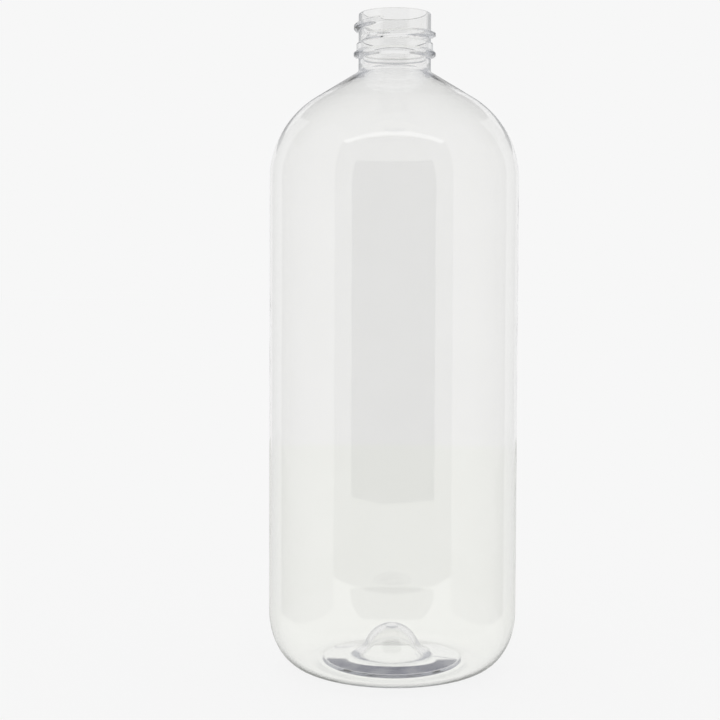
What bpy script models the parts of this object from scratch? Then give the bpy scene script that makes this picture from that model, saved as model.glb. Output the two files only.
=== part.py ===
"""A tall round bottle of about one litre, blown in clear plastic as a single hollow piece.

The wall runs from a standing ring, up a rounded heel and a straight body, over a rounded
shoulder and a short cone, to a threaded neck with a bead ring and an open mouth. The base is
pushed up inside the ring and rises to a bell in the middle. Metres, +Z up, with the origin at
the centre of the standing ring. The camera side of the bottle is -Y.
"""

import math

import bmesh
import bpy

# Whole bottle
OVERALL_HEIGHT = 0.2205
BODY_DIAMETER = 0.0840
BODY_WALL = 0.0006

# Heel: a quarter ellipse between the body and the standing ring
HEEL_WIDTH = 0.0130
HEEL_HEIGHT = 0.0190
HEEL_WALL = 0.0008

# Base: a flat standing ring, a short step, a gentle cone and a bell in the middle
STANDING_RING_WIDTH = 0.0040
STEP_WIDTH = 0.0014
STEP_HEIGHT = 0.0006
CONE_SLOPE = math.radians(8.5)
CONE_WALL = 0.0013
BELL_DIAMETER = 0.0192
BELL_HEIGHT = 0.0137
BELL_WALL = 0.0017
BELL_FLARE_START = math.radians(24.0)
GATE_DIAMETER = 0.0040
GATE_HEIGHT = 0.0006

# Shoulder: an arc that leaves the body, then a straight cone up to the neck
SHOULDER_RADIUS = 0.0317
SHOULDER_SLOPE = math.radians(31.6)
SHOULDER_WALL = 0.0007
SHOULDER_NECK_WALL = 0.0010

# Neck and its mouth
NECK_HEIGHT = 0.0196
NECK_DIAMETER = 0.0243
NECK_WALL = 0.00145
NECK_FILLET_RADIUS = 0.0012
LIP_RADIUS = 0.0005
BORE_CHAMFER = 0.0002

# Bead ring and the low collar above it: how far they stand out, and their depth below the rim
BEAD_STAND = 0.00165
BEAD_DEPTH = 0.0138
BEAD_WIDTH = 0.0026
BEAD_CREST_WIDTH = 0.0012
COLLAR_STAND = 0.0007
COLLAR_WIDTH = 0.0024
COLLAR_CHAMFER = 0.0004

# Right-hand thread: one ridge that starts near the front and runs down round the neck
THREAD_STAND = 0.0016
THREAD_PITCH = 0.0048
THREAD_START_DEPTH = 0.0037
THREAD_START_ANGLE = math.radians(255.0)
THREAD_TURNS = 1.15
THREAD_ROOT_WIDTH = 0.0028
THREAD_CREST_WIDTH = 0.0010
THREAD_RUN_OUT = math.radians(30.0)

# How finely the round forms are divided
SIDES = 48
SHOULDER_STEPS = 8
HEEL_STEPS = 6
BELL_STEPS = 5
FILLET_STEPS = 3
THREAD_ROW = 0.00045
WELD_DISTANCE = 0.00001
SHARP_ANGLE = math.radians(40.0)

# Values that follow from the ones above
BODY_RADIUS = BODY_DIAMETER / 2
NECK_RADIUS = NECK_DIAMETER / 2
BORE_RADIUS = NECK_RADIUS - NECK_WALL
RING_OUTER_RADIUS = BODY_RADIUS - HEEL_WIDTH
RING_INNER_RADIUS = RING_OUTER_RADIUS - STANDING_RING_WIDTH
CONE_RADIUS = RING_INNER_RADIUS - STEP_WIDTH
CONE_WAY = (-math.cos(CONE_SLOPE), math.sin(CONE_SLOPE))
SHOULDER_TURN = math.pi / 2 - SHOULDER_SLOPE
NECK_FOOT = OVERALL_HEIGHT - NECK_HEIGHT
BEAD_TOP = OVERALL_HEIGHT - BEAD_DEPTH + BEAD_WIDTH / 2
COLLAR_TOP = BEAD_TOP + COLLAR_WIDTH


def arc(centre, radii, first, last, steps):
    """Points (radius, height) along an elliptical arc about centre, from angle first to last."""
    points = []
    for i in range(steps + 1):
        turn = first + (last - first) * i / steps
        points.append((centre[0] + radii[0] * math.cos(turn), centre[1] + radii[1] * math.sin(turn)))
    return points


def fillet(before, corner, after, radius, steps):
    """Points that round the corner between two straight runs with the given radius."""
    ahead = (before[0] - corner[0], before[1] - corner[1])
    behind = (after[0] - corner[0], after[1] - corner[1])
    length_a = math.hypot(*ahead)
    length_b = math.hypot(*behind)
    unit_a = (ahead[0] / length_a, ahead[1] / length_a)
    unit_b = (behind[0] / length_b, behind[1] / length_b)
    half = math.acos(unit_a[0] * unit_b[0] + unit_a[1] * unit_b[1]) / 2
    reach = radius / math.tan(half)
    middle = (unit_a[0] + unit_b[0], unit_a[1] + unit_b[1])
    scale = radius / math.sin(half) / math.hypot(*middle)
    centre = (corner[0] + middle[0] * scale, corner[1] + middle[1] * scale)
    start = (corner[0] + unit_a[0] * reach, corner[1] + unit_a[1] * reach)
    end = (corner[0] + unit_b[0] * reach, corner[1] + unit_b[1] * reach)
    first = math.atan2(start[1] - centre[1], start[0] - centre[0])
    sweep = math.atan2(end[1] - centre[1], end[0] - centre[0]) - first
    sweep = (sweep + math.pi) % (2 * math.pi) - math.pi
    return arc(centre, (radius, radius), first, first + sweep, steps)


def flare(start, along, bell, slant):
    """Points that round the bell's foot, from the cone up to the bell's lowest point.

    The cone runs inward from start in the direction along, and the bell rises from its lowest
    point in the direction slant.
    """
    across = along[0] * slant[1] - along[1] * slant[0]
    gap = (bell[0] - start[0], bell[1] - start[1])
    reach = (gap[0] * slant[1] - gap[1] * slant[0]) / across
    corner = (start[0] + along[0] * reach, start[1] + along[1] * reach)
    cosine = -(along[0] * slant[0] + along[1] * slant[1]) / math.hypot(*along) / math.hypot(*slant)
    radius = math.dist(corner, bell) * math.tan(math.acos(cosine) / 2)
    return fillet(start, corner, bell, radius, FILLET_STEPS)


def bell_slant(radius, rise):
    """Direction in which the bell's ellipse leaves its flare, upwards."""
    return -radius * math.sin(BELL_FLARE_START), rise * math.cos(BELL_FLARE_START)


def shoulder_centre():
    """Centre of the shoulder's arc, found from the neck's foot down the cone and the arc."""
    arc_end_radius = BODY_RADIUS - SHOULDER_RADIUS * (1 - math.cos(SHOULDER_TURN))
    cone_drop = (arc_end_radius - NECK_RADIUS) * math.tan(SHOULDER_SLOPE)
    arc_drop = SHOULDER_RADIUS * math.sin(SHOULDER_TURN)
    return BODY_RADIUS - SHOULDER_RADIUS, NECK_FOOT - cone_drop - arc_drop


def base_underside():
    """The base seen from below, from the gate on the axis out to the standing ring."""
    bell_radius = BELL_DIAMETER / 2 - BELL_WALL
    bell_top = BELL_HEIGHT - BELL_WALL
    gate_radius = GATE_DIAMETER / 2
    foot_height = STEP_HEIGHT + (CONE_RADIUS - bell_radius) * math.tan(CONE_SLOPE)
    rise = bell_top - foot_height
    gate_turn = math.acos(gate_radius / bell_radius)
    bell = arc((0.0, foot_height), (bell_radius, rise), gate_turn, BELL_FLARE_START, BELL_STEPS)
    cone_end = (CONE_RADIUS, STEP_HEIGHT)
    foot = flare(cone_end, CONE_WAY, bell[-1], bell_slant(bell_radius, rise))
    gate = [(0.0, bell_top - GATE_HEIGHT), (gate_radius, bell_top - GATE_HEIGHT)]
    return gate + bell + foot[-2::-1] + [cone_end, (RING_INNER_RADIUS, 0.0)]


def base_inside():
    """The base seen from inside the bottle, from the standing ring in to the bell's top."""
    bell_radius = BELL_DIAMETER / 2
    ring = (RING_INNER_RADIUS, HEEL_WALL)
    cone_start = (CONE_RADIUS, STEP_HEIGHT + CONE_WALL)
    foot_height = cone_start[1] + (CONE_RADIUS - bell_radius) * math.tan(CONE_SLOPE)
    rise = BELL_HEIGHT - foot_height
    bell = arc((0.0, foot_height), (bell_radius, rise), BELL_FLARE_START, math.pi / 2, BELL_STEPS)
    foot = flare(cone_start, CONE_WAY, bell[0], bell_slant(bell_radius, rise))
    bell[-1] = (0.0, BELL_HEIGHT)
    return [ring, cone_start] + foot[:-1] + bell


def heel_outside():
    """The heel's outer quarter ellipse, from the standing ring up to the body."""
    centre = (RING_OUTER_RADIUS, HEEL_HEIGHT)
    return arc(centre, (HEEL_WIDTH, HEEL_HEIGHT), -math.pi / 2, 0.0, HEEL_STEPS)


def heel_inside():
    """The heel's inner quarter ellipse, from the body down to the floor of the ring."""
    centre = (RING_OUTER_RADIUS, HEEL_HEIGHT)
    radii = (HEEL_WIDTH - BODY_WALL, HEEL_HEIGHT - HEEL_WALL)
    return arc(centre, radii, 0.0, -math.pi / 2, HEEL_STEPS)


def shoulder_outside():
    """The shoulder's outer arc from the body, and the fillet where its cone meets the neck."""
    centre = shoulder_centre()
    radii = (SHOULDER_RADIUS, SHOULDER_RADIUS)
    bend = arc(centre, radii, 0.0, SHOULDER_TURN, SHOULDER_STEPS)
    foot = (NECK_RADIUS, NECK_FOOT)
    above = (NECK_RADIUS, OVERALL_HEIGHT)
    return bend + fillet(bend[-1], foot, above, NECK_FILLET_RADIUS, FILLET_STEPS)


def shoulder_inside():
    """The shoulder's inner face, from the foot of the bore out to the body.

    The wall thickens evenly round the arc, and faster up the cone to the neck.
    """
    centre = shoulder_centre()
    bend = []
    for i in range(SHOULDER_STEPS + 1):
        part = 1 - i / SHOULDER_STEPS
        turn = SHOULDER_TURN * part
        reach = SHOULDER_RADIUS - BODY_WALL - (SHOULDER_WALL - BODY_WALL) * part
        bend.append((centre[0] + reach * math.cos(turn), centre[1] + reach * math.sin(turn)))
    cone_height = NECK_FOOT + (NECK_RADIUS - BORE_RADIUS) * math.tan(SHOULDER_SLOPE)
    foot = (BORE_RADIUS, cone_height - SHOULDER_NECK_WALL / math.cos(SHOULDER_SLOPE))
    thickening = (SHOULDER_NECK_WALL - SHOULDER_WALL) / 4
    halfway = (
        (bend[0][0] + foot[0]) / 2 + thickening * math.sin(SHOULDER_SLOPE),
        (bend[0][1] + foot[1]) / 2 + thickening * math.cos(SHOULDER_SLOPE),
    )
    above = (BORE_RADIUS, OVERALL_HEIGHT)
    return fillet(above, foot, halfway, NECK_FILLET_RADIUS * 2, FILLET_STEPS) + [halfway] + bend


def neck_rings():
    """The bead ring and the collar above it, from the bead's lower edge upwards."""
    bead_radius = NECK_RADIUS + BEAD_STAND
    collar_radius = NECK_RADIUS + COLLAR_STAND
    bead_middle = OVERALL_HEIGHT - BEAD_DEPTH
    return [
        (NECK_RADIUS, bead_middle - BEAD_WIDTH / 2),
        (bead_radius, bead_middle - BEAD_CREST_WIDTH / 2),
        (bead_radius, bead_middle + BEAD_CREST_WIDTH / 2),
        (collar_radius, BEAD_TOP),
        (collar_radius, COLLAR_TOP - COLLAR_CHAMFER),
        (NECK_RADIUS, COLLAR_TOP),
    ]


def thread_rows():
    """Closely spaced points up the wall between the collar and the mouth, for the thread."""
    highest = OVERALL_HEIGHT - THREAD_START_DEPTH + THREAD_ROOT_WIDTH / 2
    rows = round((highest - COLLAR_TOP) / THREAD_ROW)
    return [(NECK_RADIUS, COLLAR_TOP + THREAD_ROW * (i + 1)) for i in range(rows)]


def mouth():
    """The rounded lip, the flat land that a closure seals on, and the chamfer into the bore."""
    lip = arc(
        (NECK_RADIUS - LIP_RADIUS, OVERALL_HEIGHT - LIP_RADIUS),
        (LIP_RADIUS, LIP_RADIUS),
        0.0,
        math.pi / 2,
        FILLET_STEPS,
    )
    return lip + [
        (BORE_RADIUS + BORE_CHAMFER, OVERALL_HEIGHT),
        (BORE_RADIUS, OVERALL_HEIGHT - BORE_CHAMFER),
    ]


def section():
    """The whole wall's half section as (radius, height), from the gate round to the bell's top."""
    return (
        base_underside()
        + heel_outside()
        + shoulder_outside()
        + neck_rings()
        + thread_rows()
        + mouth()
        + shoulder_inside()
        + heel_inside()
        + base_inside()
    )


def thread_height(angle, height):
    """How far the thread stands out of the neck's wall at an angle round it and a height."""
    whole = THREAD_TURNS * 2 * math.pi
    travelled = (THREAD_START_ANGLE - angle) % (2 * math.pi)
    tallest = 0.0
    while travelled <= whole:
        middle = OVERALL_HEIGHT - THREAD_START_DEPTH - THREAD_PITCH * travelled / (2 * math.pi)
        away = THREAD_ROOT_WIDTH / 2 - abs(height - middle)
        flank = (THREAD_ROOT_WIDTH - THREAD_CREST_WIDTH) / 2
        rise = min(1.0, max(0.0, away / flank))
        ends = min(1.0, travelled / THREAD_RUN_OUT, (whole - travelled) / THREAD_RUN_OUT)
        tallest = max(tallest, THREAD_STAND * rise * ends)
        travelled += 2 * math.pi
    return tallest


def raise_thread(mesh):
    """Moves the outer wall's points between the collar and the mouth out to form the thread."""
    highest = OVERALL_HEIGHT - LIP_RADIUS
    for vertex in mesh.verts:
        radius = math.hypot(vertex.co.x, vertex.co.y)
        on_wall = abs(radius - NECK_RADIUS) < WELD_DISTANCE
        if on_wall and COLLAR_TOP + WELD_DISTANCE < vertex.co.z < highest - WELD_DISTANCE:
            rise = thread_height(math.atan2(vertex.co.y, vertex.co.x), vertex.co.z)
            vertex.co.x *= (radius + rise) / radius
            vertex.co.y *= (radius + rise) / radius


def clear_plastic():
    """Clear, glossy bottle plastic with a faint cool tint."""
    material = bpy.data.materials.new("clear_plastic")
    material.use_nodes = True
    shader = material.node_tree.nodes["Principled BSDF"]
    shader.inputs["Base Color"].default_value = (0.93, 0.95, 0.94, 1.0)
    shader.inputs["Metallic"].default_value = 0.0
    shader.inputs["Roughness"].default_value = 0.03
    shader.inputs["IOR"].default_value = 1.57
    shader.inputs["Transmission Weight"].default_value = 1.0
    return material


def make_bottle():
    """Turns the half section round the axis, raises the thread and makes the bottle object."""
    mesh = bmesh.new()
    wire = [mesh.verts.new((radius, 0.0, height)) for radius, height in section()]
    edges = [mesh.edges.new(pair) for pair in zip(wire, wire[1:])]
    bmesh.ops.spin(
        mesh,
        geom=wire + edges,
        cent=(0.0, 0.0, 0.0),
        axis=(0.0, 0.0, 1.0),
        angle=2 * math.pi,
        steps=SIDES,
        use_merge=True,
    )
    bmesh.ops.remove_doubles(mesh, verts=mesh.verts, dist=WELD_DISTANCE)
    raise_thread(mesh)
    bmesh.ops.recalc_face_normals(mesh, faces=mesh.faces)

    data = bpy.data.meshes.new("bottle")
    mesh.to_mesh(data)
    mesh.free()
    data.shade_smooth()
    data.set_sharp_from_angle(angle=SHARP_ANGLE)
    data.materials.append(clear_plastic())
    bottle = bpy.data.objects.new("bottle", data)
    bpy.context.scene.collection.objects.link(bottle)
    return bottle


def main():
    """Empties the scene and makes the bottle."""
    for old in list(bpy.data.objects):
        bpy.data.objects.remove(old, do_unlink=True)
    make_bottle()


main()
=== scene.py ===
"""The looks of a tall round bottle of clear plastic, standing in a small white light tent.

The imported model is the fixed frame. A finely divided wall of the same sizes takes the place of
its solid, in a clear plastic that reflects the tent's white walls and the dark opening in
front, where the camera stands. All lengths are metres, +Z is up and -Y is the camera's side.
"""

import logging
import math
from dataclasses import dataclass, field
from enum import Enum
from typing import Sequence

import bpy
import numpy as np
from mathutils import Euler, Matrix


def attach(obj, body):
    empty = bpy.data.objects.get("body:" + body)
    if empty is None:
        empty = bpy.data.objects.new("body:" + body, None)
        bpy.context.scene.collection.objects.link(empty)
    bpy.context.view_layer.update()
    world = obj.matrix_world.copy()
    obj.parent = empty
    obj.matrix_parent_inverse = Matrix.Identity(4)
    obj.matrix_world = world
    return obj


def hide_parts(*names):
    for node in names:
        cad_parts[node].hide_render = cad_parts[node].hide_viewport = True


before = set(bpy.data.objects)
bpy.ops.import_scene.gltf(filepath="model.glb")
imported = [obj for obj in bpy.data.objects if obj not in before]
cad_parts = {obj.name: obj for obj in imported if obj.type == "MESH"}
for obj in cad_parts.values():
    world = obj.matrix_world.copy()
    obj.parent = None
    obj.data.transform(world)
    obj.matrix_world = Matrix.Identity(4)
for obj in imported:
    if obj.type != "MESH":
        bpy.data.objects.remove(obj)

LOG = logging.getLogger("bottle")
NODE = "bottle"

Point = tuple[float, float]
Colour = tuple[float, float, float]


class Seen(Enum):
    """Where a piece of the tent shows."""

    IN_NEAR_WALL = "mirrored by the wall nearest the eye"
    IN_FAR_WALL = "mirrored by the wall across the bottle"
    IN_EACH_WALL = "mirrored by either wall"
    THROUGH = "straight through the plastic"
    ALWAYS = "mirrored and straight through"


def arc(centre: Point, radii: Point, first: float, last: float, steps: int) -> list[Point]:
    """Finds points along an elliptical arc.

    Args:
        centre: Radius and height of the arc's centre.
        radii: The ellipse's half widths along radius and height.
        first: Angle of the first point.
        last: Angle of the last point.
        steps: How many steps the arc is cut into.

    Returns:
        The points as (radius, height).
    """
    turns = [first + (last - first) * i / steps for i in range(steps + 1)]
    return [(centre[0] + radii[0] * math.cos(t), centre[1] + radii[1] * math.sin(t)) for t in turns]


def fillet(before: Point, corner: Point, after: Point, radius: float, steps: int) -> list[Point]:
    """Rounds the corner between two straight runs.

    Args:
        before: A point on the run that comes in.
        corner: The corner itself.
        after: A point on the run that goes out.
        radius: Radius of the rounding.
        steps: How many steps it is cut into.

    Returns:
        The rounding's points as (radius, height).
    """
    ahead = np.subtract(before, corner)
    behind = np.subtract(after, corner)
    ahead = ahead / np.hypot(*ahead)
    behind = behind / np.hypot(*behind)
    half = math.acos(float(np.dot(ahead, behind))) / 2
    reach = radius / math.tan(half)
    middle = ahead + behind
    centre = np.asarray(corner) + middle * (radius / math.sin(half) / np.hypot(*middle))
    start = np.asarray(corner) + ahead * reach - centre
    end = np.asarray(corner) + behind * reach - centre
    first = math.atan2(start[1], start[0])
    sweep = (math.atan2(end[1], end[0]) - first + math.pi) % (2 * math.pi) - math.pi
    return arc((float(centre[0]), float(centre[1])), (radius, radius), first, first + sweep, steps)


def line(first: Point, last: Point, spacing: float) -> list[Point]:
    """Divides a straight run.

    Args:
        first: Its first point.
        last: Its last point.
        spacing: The longest distance from one point to the next.

    Returns:
        The points between the two ends, without the ends.
    """
    steps = max(1, math.ceil(math.dist(first, last) / spacing))
    return [
        (first[0] + (last[0] - first[0]) * i / steps, first[1] + (last[1] - first[1]) * i / steps)
        for i in range(1, steps)
    ]


def smooth(value: np.ndarray) -> np.ndarray:
    """Eases a ramp from 0 to 1 at both of its ends."""
    kept = np.clip(value, 0.0, 1.0)
    return kept * kept * (3.0 - 2.0 * kept)


def add_object(name: str, data: bpy.types.ID) -> bpy.types.Object:
    """Adds an object to the scene.

    Args:
        name: The object's name.
        data: Its mesh or camera data.

    Returns:
        The new object.
    """
    piece = bpy.data.objects.new(name, data)
    bpy.context.scene.collection.objects.link(piece)
    return piece


def new_material(name: str) -> tuple[bpy.types.Material, bpy.types.NodeTree]:
    """Starts a material of nodes that has no surface yet.

    Args:
        name: The material's name.

    Returns:
        The material and its nodes.
    """
    material = bpy.data.materials.new(name)
    material.use_nodes = True
    tree = material.node_tree
    tree.nodes.remove(tree.nodes["Principled BSDF"])
    return material, tree


def show_partly(
    tree: bpy.types.NodeTree, cover: bpy.types.NodeSocket, light: bpy.types.NodeSocket
) -> None:
    """Lets a light show by its cover, and leaves the surface clear elsewhere.

    Args:
        tree: The material's nodes.
        cover: How much of the light shows, from 0 to 1.
        light: The light that the surface gives off.
    """
    clear = tree.nodes.new("ShaderNodeBsdfTransparent")
    mix = tree.nodes.new("ShaderNodeMixShader")
    tree.links.new(cover, mix.inputs["Fac"])
    tree.links.new(clear.outputs["BSDF"], mix.inputs[1])
    tree.links.new(light, mix.inputs[2])
    tree.links.new(mix.outputs["Shader"], tree.nodes["Material Output"].inputs["Surface"])


@dataclass(frozen=True)
class ClearPlastic:
    """The bottle's plastic: clear, glossy and very faintly tinted where it is thick."""

    tint: Colour = (1.0, 0.999, 0.992)
    cloud_tint: Colour = (0.991, 0.990, 0.982)
    ior: float = 1.57
    roughness: tuple[float, float] = (0.012, 0.045)
    haze_size: float = 55.0
    haze_detail: float = 4.0
    haze_breakup: float = 0.55
    cloud_range: tuple[float, float] = (0.35, 0.65)
    ripple_size: float = 90.0
    ripple_detail: float = 2.0
    ripple_depth: float = 0.00002
    depth_colour: Colour = (0.60, 0.62, 0.68)
    depth_density: float = 34.0

    def make(self) -> bpy.types.Material:
        """Builds the material.

        Returns:
            A glass-like material with faint clouds in tint and gloss and a slow ripple.
        """
        material = bpy.data.materials.new("clear_plastic_finish")
        material.use_nodes = True
        tree = material.node_tree
        shader = tree.nodes["Principled BSDF"]
        shader.inputs["Metallic"].default_value = 0.0
        shader.inputs["IOR"].default_value = self.ior
        shader.inputs["Transmission Weight"].default_value = 1.0

        place = tree.nodes.new("ShaderNodeTexCoord")
        cloud = tree.nodes.new("ShaderNodeTexNoise")
        cloud.inputs["Scale"].default_value = self.haze_size
        cloud.inputs["Detail"].default_value = self.haze_detail
        cloud.inputs["Roughness"].default_value = self.haze_breakup
        tree.links.new(place.outputs["Object"], cloud.inputs["Vector"])

        tints = tree.nodes.new("ShaderNodeValToRGB")
        for stop, position, colour in zip(
            tints.color_ramp.elements, self.cloud_range, (self.cloud_tint, self.tint)
        ):
            stop.position = position
            stop.color = (*colour, 1.0)
        tree.links.new(cloud.outputs["Fac"], tints.inputs["Fac"])
        tree.links.new(tints.outputs["Color"], shader.inputs["Base Color"])

        gloss = tree.nodes.new("ShaderNodeMapRange")
        gloss.inputs["To Min"].default_value = self.roughness[0]
        gloss.inputs["To Max"].default_value = self.roughness[1]
        tree.links.new(cloud.outputs["Fac"], gloss.inputs["Value"])
        tree.links.new(gloss.outputs["Result"], shader.inputs["Roughness"])

        ripple = tree.nodes.new("ShaderNodeTexNoise")
        ripple.inputs["Scale"].default_value = self.ripple_size
        ripple.inputs["Detail"].default_value = self.ripple_detail
        bump = tree.nodes.new("ShaderNodeBump")
        bump.inputs["Distance"].default_value = self.ripple_depth
        bump.inputs["Strength"].default_value = 1.0
        tree.links.new(place.outputs["Object"], ripple.inputs["Vector"])
        tree.links.new(ripple.outputs["Fac"], bump.inputs["Height"])
        tree.links.new(bump.outputs["Normal"], shader.inputs["Normal"])

        depth = tree.nodes.new("ShaderNodeVolumeAbsorption")
        depth.inputs["Color"].default_value = (*self.depth_colour, 1.0)
        depth.inputs["Density"].default_value = self.depth_density
        tree.links.new(depth.outputs["Volume"], tree.nodes["Material Output"].inputs["Volume"])
        return material


@dataclass(frozen=True)
class Glow:
    """An even light that a piece of the tent gives off.

    It has one strength in the bottle's near wall and one in its far wall. A ray that has
    crossed more surfaces than `crossings` has reached the far wall.
    """

    name: str
    colour: Colour
    near: float = 1.0
    far: float = 1.0
    crossings: float = 3.0
    count_tolerance: float = 0.5

    def make(self, seen: Seen) -> bpy.types.Material:
        """Builds the material.

        Args:
            seen: Where the piece shows. Elsewhere it is clear, so that a view through the
                bottle from any side meets the same pale air as the view past it.

        Returns:
            An even glow of the colour and strengths.
        """
        material, tree = new_material(self.name)
        path = tree.nodes.new("ShaderNodeLightPath")
        across = tree.nodes.new("ShaderNodeMath")
        across.operation = "GREATER_THAN"
        across.inputs[1].default_value = self.crossings
        strength = tree.nodes.new("ShaderNodeMapRange")
        strength.inputs["To Min"].default_value = self.near
        strength.inputs["To Max"].default_value = self.far
        glow = tree.nodes.new("ShaderNodeEmission")
        glow.inputs["Color"].default_value = (*self.colour, 1.0)
        tree.links.new(path.outputs["Transmission Depth"], across.inputs[0])
        tree.links.new(across.outputs["Value"], strength.inputs["Value"])
        tree.links.new(strength.outputs["Result"], glow.inputs["Strength"])
        if seen is Seen.ALWAYS:
            surface = tree.nodes["Material Output"].inputs["Surface"]
            tree.links.new(glow.outputs["Emission"], surface)
            return material
        mirrored = tree.nodes.new("ShaderNodeMath")
        mirrored.operation = "COMPARE"
        mirrored.inputs[1].default_value = 0.0 if seen is Seen.THROUGH else 1.0
        mirrored.inputs[2].default_value = self.count_tolerance
        tree.links.new(path.outputs["Glossy Depth"], mirrored.inputs[0])
        shown = mirrored.outputs["Value"]
        if seen in (Seen.IN_NEAR_WALL, Seen.IN_FAR_WALL):
            chosen = tree.nodes.new("ShaderNodeMath")
            chosen.operation = "MULTIPLY" if seen is Seen.IN_FAR_WALL else "SUBTRACT"
            chosen.use_clamp = True
            tree.links.new(shown, chosen.inputs[0])
            tree.links.new(across.outputs["Value"], chosen.inputs[1])
            shown = chosen.outputs["Value"]
        show_partly(tree, shown, glow.outputs["Emission"])
        return material


@dataclass(frozen=True)
class SoftShade:
    """Painted shade: a dark, slightly uneven half ring under the base, fading out at its edges and
    ends.
    """

    colour: Colour
    outer: float
    inner: Point
    end: float
    end_fade: float = 0.0030
    rim_fade: float = 0.0010
    hole_fade: float = 0.10
    patch_size: float = 110.0
    patch_low: float = 0.30
    patch_high: float = 0.48
    lightest: float = 0.86

    def ramp(
        self,
        tree: bpy.types.NodeTree,
        value: bpy.types.NodeSocket,
        bare: float,
        full: float,
        least: float = 0.0,
    ) -> bpy.types.NodeSocket:
        """Adds a soft ramp.

        Args:
            tree: The material's nodes.
            value: What the ramp runs along.
            bare: The value where the ramp has its least cover.
            full: The value where it covers fully.
            least: The cover at the ramp's low end.

        Returns:
            The ramp's output.
        """
        ramp = tree.nodes.new("ShaderNodeMapRange")
        ramp.interpolation_type = "SMOOTHSTEP"
        ramp.inputs["From Min"].default_value = bare
        ramp.inputs["From Max"].default_value = full
        ramp.inputs["To Min"].default_value = least
        tree.links.new(value, ramp.inputs["Value"])
        return ramp.outputs["Result"]

    def reach(
        self, tree: bpy.types.NodeTree, place: bpy.types.NodeSocket, half_widths: Point
    ) -> bpy.types.NodeSocket:
        """Measures how far out a point lies, against an ellipse round the axis.

        Args:
            tree: The material's nodes.
            place: The point's place.
            half_widths: The ellipse's half widths across and along the view.

        Returns:
            An output that is 1 on the ellipse, and less inside it.
        """
        scaled = tree.nodes.new("ShaderNodeVectorMath")
        scaled.operation = "MULTIPLY"
        scaled.inputs[1].default_value = (1.0 / half_widths[0], 1.0 / half_widths[1], 0.0)
        length = tree.nodes.new("ShaderNodeVectorMath")
        length.operation = "LENGTH"
        tree.links.new(place, scaled.inputs[0])
        tree.links.new(scaled.outputs["Vector"], length.inputs[0])
        return length.outputs["Value"]

    def make(self) -> bpy.types.Material:
        """Builds the material.

        Returns:
            The painted shade, a dark glow that turns clear toward its edges and ends.
        """
        material, tree = new_material("tent_soft_shade")
        place = tree.nodes.new("ShaderNodeTexCoord").outputs["Object"]
        parts = tree.nodes.new("ShaderNodeSeparateXYZ")
        tree.links.new(place, parts.inputs["Vector"])
        noise = tree.nodes.new("ShaderNodeTexNoise")
        noise.inputs["Scale"].default_value = self.patch_size
        noise.inputs["Detail"].default_value = 0.0
        tree.links.new(place, noise.inputs["Vector"])
        rim = self.reach(tree, place, (self.outer, self.outer))
        hole = self.reach(tree, place, self.inner)
        patches = noise.outputs["Fac"]
        cover = self.ramp(tree, patches, self.patch_low, self.patch_high, self.lightest)
        for value, bare, full in (
            (parts.outputs["Y"], self.end, self.end - self.end_fade),
            (rim, 1.0, 1.0 - self.rim_fade / self.outer),
            (hole, 1.0, 1.0 + self.hole_fade),
        ):
            both = tree.nodes.new("ShaderNodeMath")
            both.operation = "MULTIPLY"
            tree.links.new(cover, both.inputs[0])
            tree.links.new(self.ramp(tree, value, bare, full), both.inputs[1])
            cover = both.outputs["Value"]
        glow = tree.nodes.new("ShaderNodeEmission")
        glow.inputs["Color"].default_value = (*self.colour, 1.0)
        show_partly(tree, cover, glow.outputs["Emission"])
        return material


@dataclass(frozen=True)
class PaleFloor:
    """A pale floor that is as bright as the air round it and takes a soft, weak shadow."""

    brightness: Colour = (0.93, 0.93, 0.93)
    matt_share: float = 0.06

    def make(self) -> bpy.types.Material:
        """Builds the material.

        Returns:
            A matt surface whose missing light is made up by its own glow.
        """
        material, tree = new_material("pale_floor")
        share = self.matt_share
        matt = tree.nodes.new("ShaderNodeBsdfDiffuse")
        matt.inputs["Color"].default_value = (share, share, share, 1.0)
        glow = tree.nodes.new("ShaderNodeEmission")
        glow.inputs["Color"].default_value = (*self.brightness, 1.0)
        glow.inputs["Strength"].default_value = 1.0 - share
        both = tree.nodes.new("ShaderNodeAddShader")
        tree.links.new(matt.outputs["BSDF"], both.inputs[0])
        tree.links.new(glow.outputs["Emission"], both.inputs[1])
        tree.links.new(both.outputs["Shader"], tree.nodes["Material Output"].inputs["Surface"])
        return material


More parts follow.
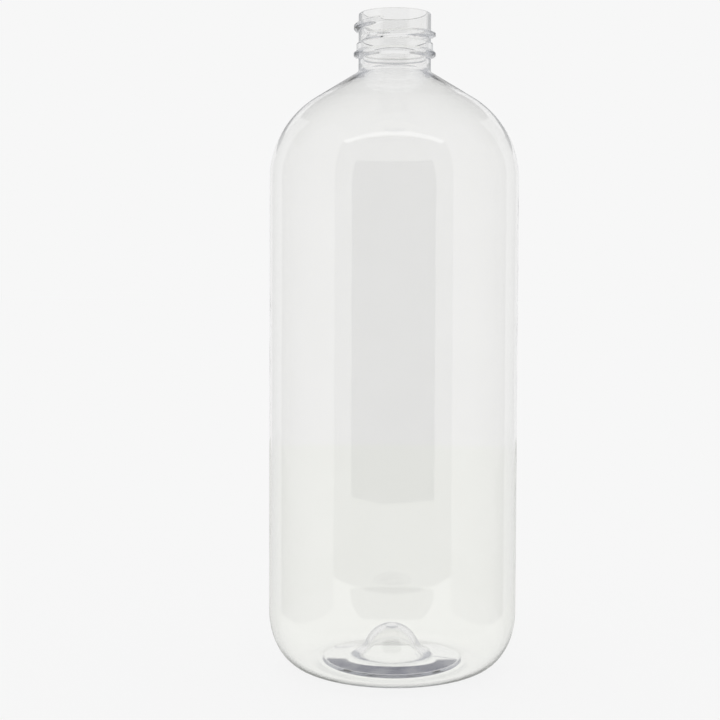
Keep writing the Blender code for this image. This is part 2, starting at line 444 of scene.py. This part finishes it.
@dataclass
class Bottle:
    """The one-piece bottle: its sizes, its finely divided wall and its finish."""

    overall_height: float = 0.2205
    body_radius: float = 0.0420
    body_wall: float = 0.0006

    heel_width: float = 0.0130
    heel_height: float = 0.0190
    heel_wall: float = 0.0008

    ring_width: float = 0.0040
    step_width: float = 0.0014
    step_height: float = 0.0006
    cone_slope: float = math.radians(8.5)
    cone_wall: float = 0.0013
    bell_radius: float = 0.0096
    bell_height: float = 0.0137
    bell_wall: float = 0.0017
    bell_flare_start: float = math.radians(24.0)
    gate_radius: float = 0.0020
    gate_height: float = 0.0006

    shoulder_radius: float = 0.0317
    shoulder_slope: float = math.radians(31.6)
    shoulder_wall: float = 0.0007
    shoulder_neck_wall: float = 0.0010

    neck_height: float = 0.0196
    neck_radius: float = 0.01215
    bore_radius: float = 0.0107
    neck_fillet: float = 0.0012
    bore_fillet: float = 0.0024
    lip_radius: float = 0.0005
    bore_chamfer: float = 0.0002

    bead_radius: float = 0.0138
    bead_depth: float = 0.0138
    bead_width: float = 0.0026
    bead_crest: float = 0.0012
    bead_root_fillet: float = 0.0004
    bead_crest_fillet: float = 0.0005
    collar_radius: float = 0.01285
    collar_width: float = 0.0024
    collar_fillet: float = 0.0003
    collar_top_fillet: float = 0.0002
    collar_taper: float = 0.0001

    thread_radius: float = 0.01375
    thread_pitch: float = 0.0048
    thread_start_depth: float = 0.0037
    thread_start: float = math.radians(255.0)
    thread_turns: float = 1.15
    thread_root: float = 0.0028
    thread_crest: float = 0.0010
    thread_run_out: float = math.radians(30.0)
    thread_clear: float = 0.0004
    thread_margin: float = 0.0003

    wave_height: float = 0.000012
    wave_fade: float = 0.020
    wave_low: float = 0.012
    wave_high: float = 0.006
    wave_rim: float = 0.012
    wave_parts: tuple[tuple[float, int, float, float], ...] = (
        (1.00, 3, 41.0, 0.7),
        (0.70, 5, -66.0, 2.1),
        (0.30, 11, 120.0, 1.3),
        (0.22, 8, -190.0, 0.0),
    )

    sides: int = 168
    row: float = 0.0016
    thread_row: float = 0.00016
    heel_steps: int = 36
    shoulder_steps: int = 40
    cone_steps: int = 12
    neck_foot_steps: int = 10
    bore_foot_steps: int = 12
    underside_bell_steps: int = 18
    bell_steps: int = 22
    flare_steps: int = 14
    base_corner: float = 0.0008
    corner_steps: int = 5
    root_steps: int = 4
    collar_top_steps: int = 3
    lip_steps: int = 8
    cone_margin: float = 0.0002
    same_place: float = 0.00001
    sharp_angle: float = math.radians(40.0)
    finish: ClearPlastic = field(default_factory=ClearPlastic)

    @property
    def neck_foot(self) -> float:
        """Height at which the neck rises from the shoulder."""
        return self.overall_height - self.neck_height

    @property
    def ring_outer(self) -> float:
        """Outer radius of the standing ring."""
        return self.body_radius - self.heel_width

    @property
    def ring_inner(self) -> float:
        """Inner radius of the standing ring."""
        return self.ring_outer - self.ring_width

    @property
    def cone_radius(self) -> float:
        """Radius at which the base's cone begins."""
        return self.ring_inner - self.step_width

    @property
    def bead_top(self) -> float:
        """Height of the bead's upper edge."""
        return self.overall_height - self.bead_depth + self.bead_width / 2

    @property
    def collar_top(self) -> float:
        """Height of the collar's upper edge."""
        return self.bead_top + self.collar_width

    def shoulder_centre(self) -> Point:
        """Finds the centre of the shoulder's arc from the neck's foot."""
        turn = math.pi / 2 - self.shoulder_slope
        arc_end = self.body_radius - self.shoulder_radius * (1 - math.cos(turn))
        cone_drop = (arc_end - self.neck_radius) * math.tan(self.shoulder_slope)
        arc_drop = self.shoulder_radius * math.sin(turn)
        return self.body_radius - self.shoulder_radius, self.neck_foot - cone_drop - arc_drop

    def flare(self, start: Point, bell: Point, radius: float, rise: float) -> list[Point]:
        """Rounds the bell's foot, from the cone to where the bell begins.

        Args:
            start: The cone's outer end.
            bell: The bell's lowest point, where the rounding ends.
            radius: The bell's half width.
            rise: Its height above the cone.

        Returns:
            The rounding's points, from the cone inward.
        """
        along = (-math.cos(self.cone_slope), math.sin(self.cone_slope))
        slant = (-radius * math.sin(self.bell_flare_start), rise * math.cos(self.bell_flare_start))
        across = along[0] * slant[1] - along[1] * slant[0]
        gap = (bell[0] - start[0], bell[1] - start[1])
        reach = (gap[0] * slant[1] - gap[1] * slant[0]) / across
        corner = (start[0] + along[0] * reach, start[1] + along[1] * reach)
        cosine = -(along[0] * slant[0] + along[1] * slant[1]) / math.hypot(*slant)
        rounding = math.dist(corner, bell) * math.tan(math.acos(cosine) / 2)
        return fillet(start, corner, bell, rounding, self.flare_steps)

    def underside(self) -> list[Point]:
        """Lays out the base seen from below, from the gate out to the standing ring."""
        radius = self.bell_radius - self.bell_wall
        top = self.bell_height - self.bell_wall
        cone_end = (self.cone_radius, self.step_height)
        foot = self.step_height + (self.cone_radius - radius) * math.tan(self.cone_slope)
        gate_turn = math.acos(self.gate_radius / radius)
        bell = arc(
            (0.0, foot),
            (radius, top - foot),
            gate_turn,
            self.bell_flare_start,
            self.underside_bell_steps,
        )
        rounding = self.flare(cone_end, bell[-1], radius, top - foot)[-2::-1]
        gate = [(0.0, top - self.gate_height), (self.gate_radius, top - self.gate_height)]
        ring = (self.ring_inner, 0.0)
        cone = line(rounding[-1], cone_end, self.row)
        corner = fillet(rounding[-1], cone_end, ring, self.base_corner, self.corner_steps)
        return gate + bell + rounding + cone + corner + [ring]

    def inside_base(self) -> list[Point]:
        """Lays out the base seen from inside, from the standing ring in to the bell's top."""
        ring = (self.ring_inner, self.heel_wall)
        start = (self.cone_radius, self.step_height + self.cone_wall)
        foot = start[1] + (self.cone_radius - self.bell_radius) * math.tan(self.cone_slope)
        rise = self.bell_height - foot
        half_widths = (self.bell_radius, rise)
        bell = arc((0.0, foot), half_widths, self.bell_flare_start, math.pi / 2, self.bell_steps)
        rounding = self.flare(start, bell[0], self.bell_radius, rise)[:-1]
        bell[-1] = (0.0, self.bell_height)
        cone = line(start, rounding[0], self.row)
        return [ring, start] + cone + rounding + bell

    def outside(self) -> list[Point]:
        """Lays out the heel, the body and the shoulder from outside, up to the neck."""
        heel = arc(
            (self.ring_outer, self.heel_height),
            (self.heel_width, self.heel_height),
            -math.pi / 2,
            0.0,
            self.heel_steps,
        )
        turn = math.pi / 2 - self.shoulder_slope
        radii = (self.shoulder_radius, self.shoulder_radius)
        bend = arc(self.shoulder_centre(), radii, 0.0, turn, self.shoulder_steps)
        foot = (self.neck_radius, self.neck_foot)
        above = (self.neck_radius, self.overall_height)
        rounding = fillet(bend[-1], foot, above, self.neck_fillet, self.neck_foot_steps)
        body = line(heel[-1], bend[0], self.row)
        cone = line(bend[-1], rounding[0], self.row)
        return heel + body + bend + cone + rounding

    def inside(self) -> list[Point]:
        """Lays out the shoulder, the body and the heel from inside, down from the bore's foot."""
        centre = self.shoulder_centre()
        slope = self.shoulder_slope
        bend = []
        for i in range(self.shoulder_steps + 1):
            part = 1 - i / self.shoulder_steps
            turn = (math.pi / 2 - slope) * part
            wall = self.body_wall + (self.shoulder_wall - self.body_wall) * part
            reach = self.shoulder_radius - wall
            bend.append((centre[0] + reach * math.cos(turn), centre[1] + reach * math.sin(turn)))
        cone_height = self.neck_foot + (self.neck_radius - self.bore_radius) * math.tan(slope)
        foot = (self.bore_radius, cone_height - self.shoulder_neck_wall / math.cos(slope))
        above = (self.bore_radius, self.overall_height)
        cone = []
        for i in range(1, self.cone_steps):
            part = 1 - i / self.cone_steps
            spare = (self.shoulder_neck_wall - self.shoulder_wall) * (part - part * part)
            along = (
                bend[0][0] + (foot[0] - bend[0][0]) * part,
                bend[0][1] + (foot[1] - bend[0][1]) * part,
            )
            cone.append((along[0] + spare * math.sin(slope), along[1] + spare * math.cos(slope)))
        rounding = fillet(above, foot, cone[0], self.bore_fillet, self.bore_foot_steps)
        cone = [point for point in cone if point[0] > rounding[-1][0] + self.cone_margin]
        heel = arc(
            (self.ring_outer, self.heel_height),
            (self.heel_width - self.body_wall, self.heel_height - self.heel_wall),
            0.0,
            -math.pi / 2,
            self.heel_steps,
        )
        body = line(bend[-1], heel[0], self.row)
        return rounding + cone + bend + body + heel

    def rings(self) -> list[Point]:
        """Lays out the bead ring and the low collar above it, both with rounded edges."""
        middle = self.overall_height - self.bead_depth
        low = (self.neck_radius, middle - self.bead_width / 2)
        crest_low = (self.bead_radius, middle - self.bead_crest / 2)
        crest_high = (self.bead_radius, middle + self.bead_crest / 2)
        seat = (self.collar_radius, self.bead_top)
        collar_edge = (self.collar_radius, self.collar_top)
        wall = (self.neck_radius, self.collar_top + self.collar_taper)
        foot = (self.neck_radius, self.neck_foot)
        above = (self.neck_radius, self.overall_height)
        corners = (
            (foot, low, crest_low, self.bead_root_fillet, self.root_steps),
            (low, crest_low, crest_high, self.bead_crest_fillet, self.corner_steps),
            (crest_low, crest_high, seat, self.bead_crest_fillet, self.corner_steps),
            (crest_high, seat, collar_edge, self.collar_fillet, self.root_steps),
            (seat, collar_edge, wall, self.collar_fillet, self.root_steps),
            (collar_edge, wall, above, self.collar_top_fillet, self.collar_top_steps),
        )
        return [point for corner in corners for point in fillet(*corner)]

    def mouth(self) -> list[Point]:
        """Lays out the threaded wall's rows, the rounded lip, the flat land and the chamfer."""
        low = self.collar_top + self.thread_clear
        high = self.overall_height - self.lip_radius
        count = round((high - low) / self.thread_row)
        rows = [(self.neck_radius, low + (high - low) * i / count) for i in range(count)]
        lip = arc(
            (self.neck_radius - self.lip_radius, high),
            (self.lip_radius, self.lip_radius),
            0.0,
            math.pi / 2,
            self.lip_steps,
        )
        rim = [
            (self.bore_radius + self.bore_chamfer, self.overall_height),
            (self.bore_radius, self.overall_height - self.bore_chamfer),
        ]
        return rows + lip + rim

    def section(self) -> np.ndarray:
        """Joins the whole half section.

        Returns:
            Rows of (radius, height), from the gate under the base round to the bell's top.
        """
        points = self.underside() + self.outside() + self.rings() + self.mouth() + self.inside()
        points += self.inside_base()
        kept = [points[0]]
        for point in points[1:]:
            if math.dist(point, kept[-1]) > self.same_place:
                kept.append(point)
        return np.array(kept)

    def thread_rise(self, angle: np.ndarray, height: np.ndarray) -> np.ndarray:
        """Finds how far the thread stands out of the neck's wall.

        Args:
            angle: Angle round the neck of each point.
            height: Height of each point.

        Returns:
            The rise at each point, 0 away from the thread.
        """
        full = self.thread_radius - self.neck_radius
        whole = self.thread_turns * 2 * math.pi
        travelled = (self.thread_start - angle) % (2 * math.pi)
        tallest = np.zeros_like(angle)
        for turn in range(math.ceil(self.thread_turns)):
            along = travelled + turn * 2 * math.pi
            drop = self.thread_start_depth + self.thread_pitch * along / (2 * math.pi)
            middle = self.overall_height - drop
            away = self.thread_root / 2 - np.abs(height - middle)
            flank = (self.thread_root - self.thread_crest) / 2
            ends = np.minimum(along, whole - along) / self.thread_run_out
            tallest = np.maximum(tallest, full * smooth(away / flank) * smooth(ends))
        return tallest

    def waves(self, angle: np.ndarray, height: np.ndarray) -> np.ndarray:
        """Finds the slow unevenness of a blown wall.

        Args:
            angle: Angle round the body of each point.
            height: Height of each point.

        Returns:
            How far each point moves outward, a few hundredths of a millimetre.
        """
        foot = smooth((height - self.wave_low) / self.wave_fade)
        head = smooth((self.neck_foot - self.wave_high - height) / self.wave_fade)
        waves = np.zeros_like(angle)
        for size, turns, rise, start in self.wave_parts:
            waves = waves + size * np.sin(turns * angle + rise * height + start)
        return foot * head * self.wave_height * waves

    def build(self) -> bpy.types.Object:
        """Turns the half section round the axis and raises the thread.

        Returns:
            The bottle's wall as one closed mesh.
        """
        section = self.section()
        count = len(section)
        angles = np.arange(self.sides) * 2 * math.pi / self.sides
        inner = section[1:-1]
        radius = np.repeat(inner[:, :1], self.sides, axis=1)
        height = np.repeat(inner[:, 1:], self.sides, axis=1)
        angle = np.repeat(angles[None, :], len(inner), axis=0)
        above_collar = height > self.collar_top + self.thread_margin
        threaded = (np.abs(radius - self.neck_radius) < self.same_place) & above_collar
        turn = (angle + math.pi) % (2 * math.pi) - math.pi
        radius = radius + np.where(threaded, self.thread_rise(turn, height), 0.0)
        wall = inner[:, :1] > self.body_radius - self.wave_rim
        radius = radius + np.where(wall, self.waves(angle, height), 0.0)
        points = np.stack([radius * np.cos(angle), radius * np.sin(angle), height], axis=2)
        ends = [(0.0, 0.0, section[0][1]), (0.0, 0.0, section[-1][1])]
        vertices = np.concatenate([points.reshape(-1, 3), ends])

        faces: list[Sequence[int]] = []
        rows = count - 2
        low_end = rows * self.sides
        high_end = low_end + 1
        for side in range(self.sides):
            after = (side + 1) % self.sides
            faces.append((low_end, after, side))
            top = (rows - 1) * self.sides
            faces.append((high_end, top + side, top + after))
        for i in range(rows - 1):
            low = i * self.sides
            high = low + self.sides
            for side in range(self.sides):
                after = (side + 1) % self.sides
                faces.append((low + side, low + after, high + after, high + side))
        data = bpy.data.meshes.new("bottle_wall")
        data.from_pydata(vertices.tolist(), [], faces)
        data.validate()
        data.shade_smooth()
        data.set_sharp_from_angle(angle=self.sharp_angle)
        data.update()
        return add_object("bottle_wall", data)

    def dress(self, piece: bpy.types.Object) -> None:
        """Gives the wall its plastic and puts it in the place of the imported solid.

        Args:
            piece: The bottle's wall.
        """
        piece.data.materials.append(self.finish.make())
        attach(piece, "root")
        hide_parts(NODE)


@dataclass
class LightTent:
    """The tent round the bottle: what its plastic reflects and what is seen through it.

    The level panels lie at different heights, because a ray that meets two clear panels at
    one height passes the second one by.
    """

    half_width: float = 0.111
    front: float = -0.1025
    side_back: float = 0.030
    back: float = 0.110
    top: float = 0.262
    lamp_width: float = 0.016
    near_table_edge: float = 0.186
    far_table_edge: float = 0.249
    near_table_curve: float = 0.300
    far_table_curve: float = 0.360
    table_back: float = 0.613
    room_front: float = -0.260
    room_reach: float = 2.0
    # Painted shade: outlines of two thin dark lines laid under the raised base, running out from
    # the foot of the base's bell.
    painted_shade_lines: tuple[tuple[Point, ...], ...] = (
        ((-0.0198, 0.0130), (-0.0075, 0.0193), (-0.0074, 0.0202), (-0.0199, 0.0139)),
        (
            (0.0091, 0.0130),
            (0.0137, 0.0055),
            (0.0177, 0.0025),
            (0.0226, -0.0004),
            (0.0227, 0.0004),
            (0.0178, 0.0034),
            (0.0139, 0.0064),
            (0.0094, 0.0140),
        ),
    )
    rafter_back: float = 0.300
    rafter_low: float = 0.242
    rafter_high: float = 0.290
    rafter_half: float = 0.35
    near_table_level: float = -0.0001
    far_table_level: float = -0.0006
    seen_table_level: float = -0.0011
    shade_level: float = -0.00005
    arc_steps: int = 48
    white: Glow = Glow("tent_white", (1.0, 1.0, 0.995), 0.50, 0.84)
    rear: Glow = Glow("tent_rear", (1.0, 1.0, 1.0), 0.78, 0.84)
    table: Glow = Glow("tent_table", (0.992, 1.0, 0.972), 0.79, 0.78)
    seen_table: Glow = Glow("tent_seen_table", (0.992, 1.0, 0.972), 0.928, 0.928)
    # Painted shade: a dark half ring laid just under the raised base, standing in for the dark
    # crescent that the base shows.
    shade: SoftShade = SoftShade((0.004, 0.008, 0.060), 0.0226, (0.0146, 0.0088), 0.0016)
    room: Glow = Glow("tent_room", (0.95, 1.0, 1.0), 0.10, 0.02)
    lamp: Glow = Glow("tent_lamp", (1.0, 1.0, 1.0), 1.25, 0.84)
    rafter: Glow = Glow("tent_rafter", (0.98, 0.99, 1.0), 0.52)
    # The dim grey glow of the two painted shade lines under the base.
    painted_shade_line: Glow = Glow("tent_wing", (0.42, 0.43, 0.46))

    def panel(
        self, name: str, corners: Sequence[Sequence[float]], finish: bpy.types.Material
    ) -> None:
        """Hangs one flat panel.

        Args:
            name: The panel's name.
            corners: Its corners in order.
            finish: Its material.
        """
        data = bpy.data.meshes.new(name)
        data.from_pydata([tuple(corner) for corner in corners], [], [tuple(range(len(corners)))])
        data.materials.append(finish)
        panel = add_object(name, data)
        panel.visible_camera = False
        panel.visible_diffuse = False
        panel.visible_shadow = False

    def level_arc(
        self, centre: float, radii: Point, first: float, last: float, height: float
    ) -> list[tuple[float, float, float]]:
        """Places points on a level arc.

        Args:
            centre: How far behind the bottle's axis the arc's centre lies.
            radii: The arc's half widths across and along the view.
            first: Angle of its first point.
            last: Angle of its last point.
            height: Its height.

        Returns:
            The points in order.
        """
        points = arc((0.0, centre), radii, first, last, self.arc_steps)
        return [(x, y, height) for x, y in points]

    def build_walls(self) -> None:
        """Hangs the two sides, the top and the lamp along its front edge."""
        x, front, top = self.half_width, self.front, self.top
        middle = self.side_back
        stretches = ((front, middle, self.white), (middle, self.back, self.rear))
        for side, name in ((-x, "left"), (x, "right")):
            for near, far, glow in stretches:
                corners = ((side, near, 0), (side, far, 0), (side, far, top), (side, near, top))
                self.panel(f"{glow.name}_{name}", corners, glow.make(Seen.IN_EACH_WALL))
        corners = ((-x, front, top), (x, front, top), (x, self.back, top), (-x, self.back, top))
        self.panel("tent_top", corners, self.white.make(Seen.IN_EACH_WALL))
        lamp = front - self.lamp_width
        corners = ((-x, lamp, top), (x, lamp, top), (x, front, top), (-x, front, top))
        self.panel("tent_lamp", corners, self.lamp.make(Seen.IN_EACH_WALL))

    def build_table(self) -> None:
        """Lays the round-fronted table, as each wall mirrors it and as it is seen through."""
        near_edge, far_edge = self.near_table_edge, self.far_table_edge
        near_curve, far_curve = self.near_table_curve, self.far_table_curve
        back, half_turn = self.table_back, math.pi
        edges = (
            ("near", near_edge, near_curve, Seen.IN_NEAR_WALL, self.near_table_level),
            ("far", far_edge, far_curve, Seen.IN_FAR_WALL, self.far_table_level),
        )
        for name, edge, curve, seen, height in edges:
            outline = self.level_arc(curve - edge, (curve, curve), half_turn, 2 * half_turn, height)
            outline += [(curve, back, height), (-curve, back, height)]
            self.panel(f"tent_table_{name}", outline, self.table.make(seen))
        whole = self.level_arc(0.0, (back, back), 0.0, 2 * half_turn, self.seen_table_level)
        self.panel("tent_table_seen", whole, self.seen_table.make(Seen.THROUGH))

    def build_shade(self) -> None:
        """Lays the painted shade under the bottle's raised base: a dark half ring and two thin dark
        lines.
        """
        outer, hole, end = self.shade.outer, self.shade.inner, self.shade.end
        height, half_turn = self.shade_level, math.pi
        lift = math.asin(end / outer)
        rim = self.level_arc(0.0, (outer, outer), half_turn - lift, 2 * half_turn + lift, height)
        inner = self.level_arc(0.0, hole, 2 * half_turn, half_turn, height)
        ring = rim + [(hole[0], end, height)] + inner + [(-hole[0], end, height)]
        # The painted shade is a dark sheet under the base, which the bottle shows through its base.
        self.panel("tent_shade", ring, self.shade.make())
        # Each thin line here is painted shade, a dim grey strip under the base.
        for i, painted_shade_line in enumerate(self.painted_shade_lines):
            outline = [(x, y, height) for x, y in painted_shade_line]
            self.panel(f"tent_wing_{i}", outline, self.painted_shade_line.make(Seen.ALWAYS))

    def build_room(self) -> None:
        """Sets the dim room past the tent's open front, and the rafter behind the bottle."""
        reach, front = self.room_reach, self.room_front
        corners = (
            (-reach, front, -reach),
            (reach, front, -reach),
            (reach, front, reach),
            (-reach, front, reach),
        )
        self.panel("tent_room", corners, self.room.make(Seen.IN_EACH_WALL))
        half, far, low, high = self.rafter_half, self.rafter_back, self.rafter_low, self.rafter_high
        corners = ((-half, far, low), (half, far, low), (half, far, high), (-half, far, high))
        self.panel("tent_rafter", corners, self.rafter.make(Seen.IN_NEAR_WALL))

    def build(self) -> None:
        """Builds the whole tent."""
        self.build_walls()
        self.build_table()
        self.build_shade()
        self.build_room()


@dataclass
class Studio:
    """The pale floor, the even air round it and the camera."""

    air: float = 0.93
    deep_air: float = 0.74
    first_mirror: float = 1.0
    second_mirror: float = 2.0
    floor_half: float = 6.0
    floor_height: float = -0.0002
    floor_finish: PaleFloor = field(default_factory=PaleFloor)

    camera_distance: float = 0.480
    camera_height: float = 0.1345
    pitch_down: float = math.radians(2.5)
    yaw: float = math.radians(1.35)
    roll: float = math.radians(0.226)
    sensor: float = 36.0
    lens: float = 70.74
    shift_up: float = -0.0398
    clip: tuple[float, float] = (0.01, 50.0)

    bounces: int = 40
    transmission_bounces: int = 24
    glossy_bounces: int = 32
    diffuse_bounces: int = 2

    def build_air(self) -> None:
        """Lights the surroundings evenly, and more dimly for light mirrored twice or more."""
        world = bpy.data.worlds.new("even_air")
        world.use_nodes = True
        tree = world.node_tree
        background = tree.nodes["Background"]
        background.inputs["Color"].default_value = (1.0, 1.0, 1.0, 1.0)
        path = tree.nodes.new("ShaderNodeLightPath")
        mirrors = tree.nodes.new("ShaderNodeMapRange")
        mirrors.inputs["From Min"].default_value = self.first_mirror
        mirrors.inputs["From Max"].default_value = self.second_mirror
        mirrors.inputs["To Min"].default_value = self.air
        mirrors.inputs["To Max"].default_value = self.deep_air
        tree.links.new(path.outputs["Glossy Depth"], mirrors.inputs["Value"])
        tree.links.new(mirrors.outputs["Result"], background.inputs["Strength"])
        bpy.context.scene.world = world

    def build_floor(self) -> None:
        """Lays the floor that the camera sees."""
        half = self.floor_half
        data = bpy.data.meshes.new("floor")
        corners = ((-half, -half, 0.0), (half, -half, 0.0), (half, half, 0.0), (-half, half, 0.0))
        data.from_pydata(corners, [], [(0, 1, 2, 3)])
        data.materials.append(self.floor_finish.make())
        floor = add_object("floor", data)
        floor.location.z = self.floor_height
        floor.visible_glossy = False
        floor.visible_transmission = False

    def build_camera(self) -> None:
        """Sets the camera at the photograph's place and angle."""
        data = bpy.data.cameras.new("photo_camera")
        data.sensor_width = self.sensor
        data.lens = self.lens
        data.shift_y = self.shift_up
        data.clip_start, data.clip_end = self.clip
        camera = add_object("photo_camera", data)
        camera.location = (0.0, -self.camera_distance, self.camera_height)
        aim = Euler((math.pi / 2 - self.pitch_down, 0.0, self.yaw), "XYZ").to_matrix()
        camera.rotation_euler = (aim @ Euler((0.0, 0.0, self.roll)).to_matrix()).to_euler()
        bpy.context.scene.camera = camera

    def set_colour_handling(self) -> None:
        """Sets plain colour handling and enough bounces for light through clear walls."""
        scene = bpy.context.scene
        scene.view_settings.view_transform = "Standard"
        scene.view_settings.look = "None"
        scene.cycles.max_bounces = self.bounces
        scene.cycles.transmission_bounces = self.transmission_bounces
        scene.cycles.glossy_bounces = self.glossy_bounces
        scene.cycles.diffuse_bounces = self.diffuse_bounces


def main() -> None:
    """Builds the stage and the bottle in order."""
    logging.basicConfig(level=logging.INFO, format="%(message)s")
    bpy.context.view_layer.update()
    studio = Studio()
    studio.set_colour_handling()
    studio.build_air()
    studio.build_floor()
    studio.build_camera()
    LightTent().build()
    LOG.info("stage built")
    bottle = Bottle()
    piece = bottle.build()
    bottle.dress(piece)
    LOG.info("bottle wall: %d faces", len(piece.data.polygons))


if __name__ == "__main__":
    main()
